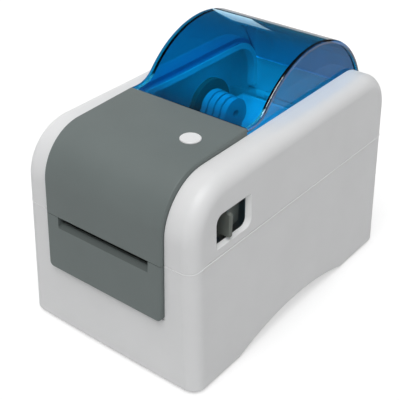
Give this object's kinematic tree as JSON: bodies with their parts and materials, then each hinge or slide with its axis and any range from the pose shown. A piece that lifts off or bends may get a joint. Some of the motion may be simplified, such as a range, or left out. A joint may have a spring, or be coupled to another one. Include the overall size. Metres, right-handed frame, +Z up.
{
  "type": "label printer",
  "caption": "Compact desktop label printer with a drafted white housing, grey front panel, tinted roll window, feed button, side release levers and a cover on a rear hinge.",
  "frame": {"origin": "middle of the footprint's bounding box, on the table under the rubber feet", "axes": "+X to the printer's right seen from behind its front, -Y out of the front where labels leave, +Z up"},
  "size_m": [0.121, 0.196, 0.1496],
  "materials": {
    "white_shell": "fine satin texture",
    "grey_panel": "satin",
    "blue_window": "clear tinted gloss",
    "white_button": "satin",
    "dark_plastic": "satin",
    "pale_plastic": "satin",
    "gear_plastic": "satin",
    "steel": "bright",
    "zinc_sheet": "zinc plated",
    "aluminium": "extruded",
    "bronze": "sintered",
    "black_rubber": "matt",
    "board_green": "solder mask",
    "ceramic": "glazed"
  },
  "bodies": {
    "base": {"lower_case": "white_shell", "lower_front_panel": "grey_panel", "chassis": "pale_plastic", "catch_pins": "steel", "platen_bushes": "bronze", "idler_pin": "steel", "stepping_motor": "zinc_sheet", "main_board": "board_green", "board_parts": "dark_plastic", "power_inlet": "dark_plastic", "usb_socket": "zinc_sheet", "serial_socket": "zinc_sheet", "power_switch": "dark_plastic", "label_sensor": "dark_plastic", "rubber_feet": "black_rubber", "hinge_pins": "steel", "case_screws": "steel"},
    "platen": {"platen_roller": "black_rubber", "platen_shaft": "steel", "platen_gear": "gear_plastic"},
    "idler": {"idler_gear": "gear_plastic"},
    "motor_rotor": {"motor_shaft": "steel", "motor_pinion": "bronze"},
    "guide_left": {"media_guide_left": "dark_plastic", "roll_hub_left": "dark_plastic"},
    "guide_right": {"media_guide_right": "dark_plastic", "roll_hub_right": "dark_plastic"},
    "pinion": {"guide_pinion": "gear_plastic"},
    "rocker": {"power_rocker": "dark_plastic"},
    "cover": {"upper_case": "white_shell", "upper_front_panel": "grey_panel", "roll_window": "blue_window", "cover_frame": "pale_plastic", "frame_screws": "steel", "latch_springs": "steel", "tear_bar": "steel", "button_board": "board_green", "head_springs": "steel"},
    "head": {"head_pivot": "steel", "head_bracket": "zinc_sheet", "heat_sink": "aluminium", "printhead": "ceramic"},
    "latch": {"latch_shaft": "steel", "latch_lever_right": "dark_plastic", "latch_lever_left": "dark_plastic"},
    "button": {"feed_button": "white_button"}
  },
  "joints": [
    {"name": "cover_hinge", "type": "hinge", "parent": "base", "child": "cover", "pos_m": [0, 0.09439, 0.0779], "axis": [-1, 0, 0], "range_deg": [0, 85]},
    {"name": "latch_turn", "type": "hinge", "parent": "cover", "child": "latch", "pos_m": [0, -0.06661, 0.0805], "axis": [1, 0, 0], "range_deg": [0, 20], "stiffness_Nm_per_rad": 0.3},
    {"name": "head_float", "type": "hinge", "parent": "cover", "child": "head", "pos_m": [0, -0.04561, 0.086], "axis": [-1, 0, 0], "range_deg": [0, 2.5], "stiffness_Nm_per_rad": 4, "springref_deg": -1.15, "deforming": ["head_springs"]},
    {"name": "feed_button_press", "type": "slide", "parent": "cover", "child": "button", "axis": [0, 0, -1], "range_m": [0, 0.001], "stiffness_N_per_m": 600},
    {"name": "platen_spin", "type": "hinge", "parent": "base", "child": "platen", "pos_m": [0, -0.08061, 0.0676], "axis": [1, 0, 0], "continuous": true},
    {"name": "idler_spin", "type": "hinge", "parent": "base", "child": "idler", "pos_m": [0, -0.07429, 0.05664], "axis": [1, 0, 0], "continuous": true},
    {"name": "motor_spin", "type": "hinge", "parent": "base", "child": "motor_rotor", "pos_m": [0, -0.05958, 0.05129], "axis": [1, 0, 0], "continuous": true},
    {"name": "guide_left_slide", "type": "slide", "parent": "base", "child": "guide_left", "axis": [1, 0, 0], "range_m": [0, 0.0175]},
    {"name": "guide_right_slide", "type": "slide", "parent": "base", "child": "guide_right", "axis": [-1, 0, 0], "range_m": [0, 0.0175]},
    {"name": "guide_pinion_spin", "type": "hinge", "parent": "base", "child": "pinion", "pos_m": [0, 0.03379, 0.0263], "axis": [0, 0, 1], "range_deg": [0, 208.99]},
    {"name": "power_rocker_rock", "type": "hinge", "parent": "base", "child": "rocker", "pos_m": [-0.031, 0.09251, 0.026], "axis": [0, 0, -1], "range_deg": [0, 20]}
  ],
  "couplings": [
    {"joint": "idler_spin", "follows": "platen_spin", "ratio": -2},
    {"joint": "motor_spin", "follows": "platen_spin", "ratio": 6.6667},
    {"joint": "guide_right_slide", "follows": "guide_left_slide", "ratio": 1},
    {"joint": "guide_pinion_spin", "follows": "guide_left_slide", "rad_per_m": 208.33}
  ]
}
